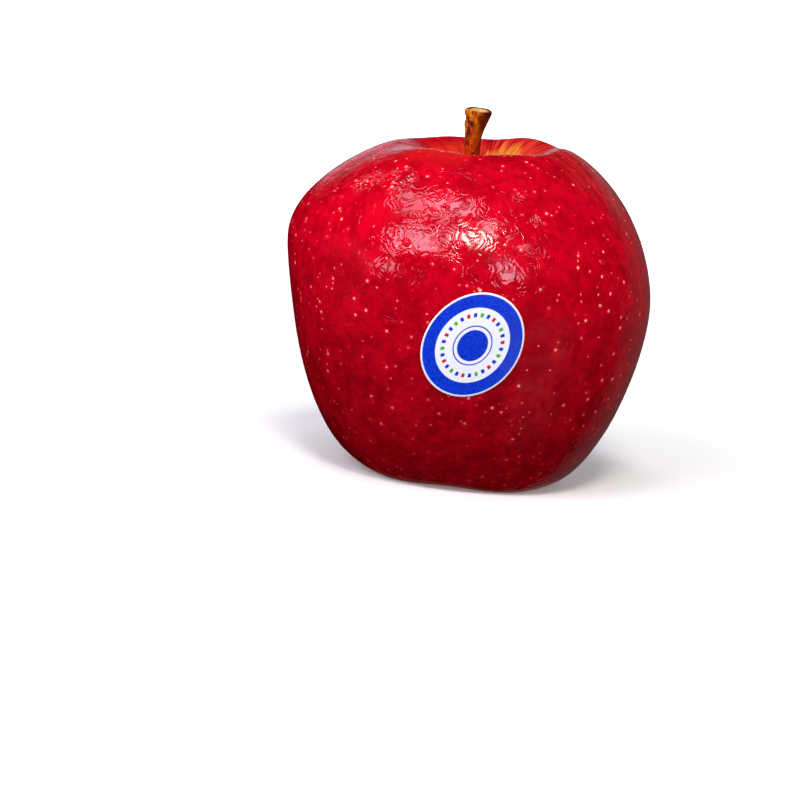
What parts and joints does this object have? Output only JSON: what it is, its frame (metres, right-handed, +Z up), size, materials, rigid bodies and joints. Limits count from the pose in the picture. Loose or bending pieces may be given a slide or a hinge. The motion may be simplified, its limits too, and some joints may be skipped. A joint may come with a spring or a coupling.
{
  "type": "queen apple",
  "caption": "Ripe red apple standing on the lobes around its calyx, with a short woody stem in its cavity and a small oval label on one side.",
  "frame": {"origin": "on the surface that the apple rests on, under the middle of its bounding box", "axes": "+Z up along the core, from the calyx to the stem; -Y toward the label; +X to the right as the label is seen"},
  "size_m": [0.0808, 0.0812, 0.0806],
  "materials": {
    "skin": "waxy, wet apple skin: crimson with orange streaks in the cavity and small pale dots",
    "stem_wood": "thin brown bark, dull, with a pale cut end",
    "dried_calyx": "dry, dull brown sepals and stamens",
    "label_paper": "coated paper, blue and white, half gloss"
  },
  "bodies": {
    "root": {"fruit": "skin", "stem": "stem_wood", "calyx": "dried_calyx", "label": "label_paper"}
  },
  "joints": []
}
